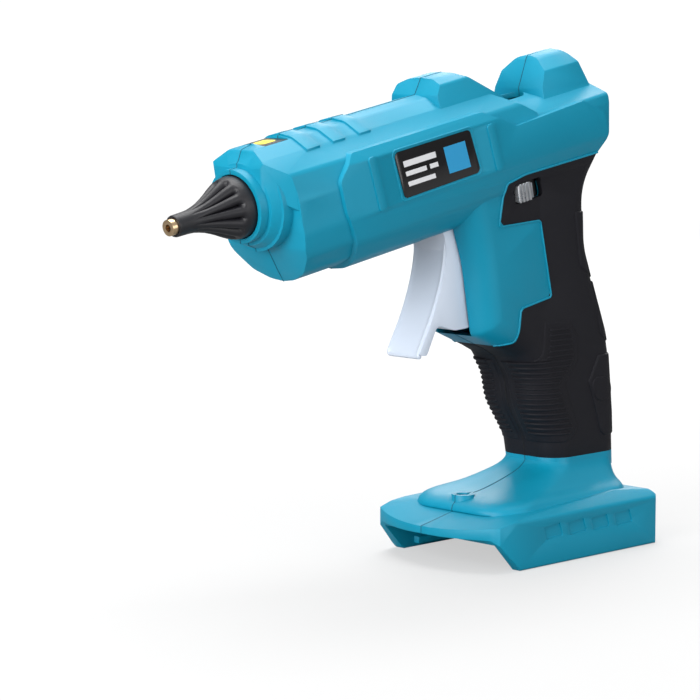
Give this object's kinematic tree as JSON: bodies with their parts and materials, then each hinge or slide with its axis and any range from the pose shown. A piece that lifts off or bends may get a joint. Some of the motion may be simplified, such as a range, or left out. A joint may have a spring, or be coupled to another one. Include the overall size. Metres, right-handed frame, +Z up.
{
  "type": "glue gun",
  "caption": "Cordless hot-melt glue gun with a brass nozzle, fluted silicone boot, pivoting trigger, stick feed and an open battery foot.",
  "frame": {"origin": "middle of the overall length and width, on the plane of the battery rails' bottoms", "axes": "+X from the nozzle towards the rear of the gun, +Y to the gun's right side, +Z up with the gun standing on its foot; the barrel axis leans 10.7 degrees nose down"},
  "size_m": [0.2259, 0.0656, 0.1924],
  "materials": {
    "housing": "fine moulded texture, teal blue",
    "grip": "satin overmould",
    "trigger": "smooth, slightly bluish white",
    "label": null,
    "sticker": "plain two-tone film",
    "nozzle": "turned",
    "boot": "satin silicone",
    "chamber": "as cast",
    "heater": "ceramic in polyimide film",
    "insulator": "mica laminate",
    "sleeve": "silicone",
    "spring_steel": "bright",
    "screw": "zinc plated",
    "guide": "glass-filled nylon",
    "knob": "satin silver",
    "board": "solder mask",
    "winding": "enamelled copper",
    "contact": "tinned edge",
    "lead_red": "silicone insulation",
    "lead_black": "silicone insulation"
  },
  "bodies": {
    "housing": {"housing_left": "housing", "housing_right": "housing", "grip_left": "grip", "grip_right": "grip", "housing_screws": "screw", "label_left": "label", "label_right": "label", "top_sticker": "sticker", "foot_screw": "screw", "trigger_pin": "screw", "nozzle": "nozzle", "nozzle_boot": "boot", "melt_chamber": "chamber", "ptc_heater": "heater", "front_plate": "insulator", "inlet_sleeve": "sleeve", "rear_plate": "insulator", "sleeve_clamp": "spring_steel", "heater_clip": "spring_steel", "thermal_cutout": "spring_steel", "stick_guide": "guide", "return_spring": "spring_steel", "switch_body": "guide", "control_board": "board", "board_inductor": "winding", "board_capacitor": "guide", "board_heatsink": "chamber", "terminal_block": "guide", "terminal_blades": "contact", "heater_lead_live": "lead_red", "heater_lead_neutral": "lead_black", "battery_lead_live": "lead_red", "battery_lead_return": "lead_black"},
    "trigger": {"trigger": "trigger"},
    "carriage": {"feed_carriage": "guide", "jaw_pin": "screw"},
    "jaw": {"gripper_jaw": "spring_steel"},
    "switch": {"switch_knob": "knob"}
  },
  "joints": [
    {"name": "trigger_pivot", "type": "hinge", "parent": "housing", "child": "trigger", "pos_m": [0.03182, 0, 0.1293], "axis": [0, -1, 0], "range_deg": [0, 18], "stiffness_Nm_per_rad": 0.3, "springref_deg": -11.46},
    {"name": "feed_slide", "type": "slide", "parent": "housing", "child": "carriage", "axis": [-0.9826, 0, -0.1857], "range_m": [0, 0.0099]},
    {"name": "jaw_hinge", "type": "hinge", "parent": "carriage", "child": "jaw", "pos_m": [0.03015, 0, 0.16999], "axis": [0, -1, 0], "range_deg": [0, 6.1]},
    {"name": "switch_slide", "type": "slide", "parent": "housing", "child": "switch", "axis": [0.9826, 0, 0.1857], "range_m": [0, 0.005]}
  ],
  "couplings": [
    {"joint": "feed_slide", "follows": "trigger_pivot", "m_per_rad": 0.03126},
    {"joint": "jaw_hinge", "follows": "trigger_pivot", "ratio": 0.3333}
  ]
}
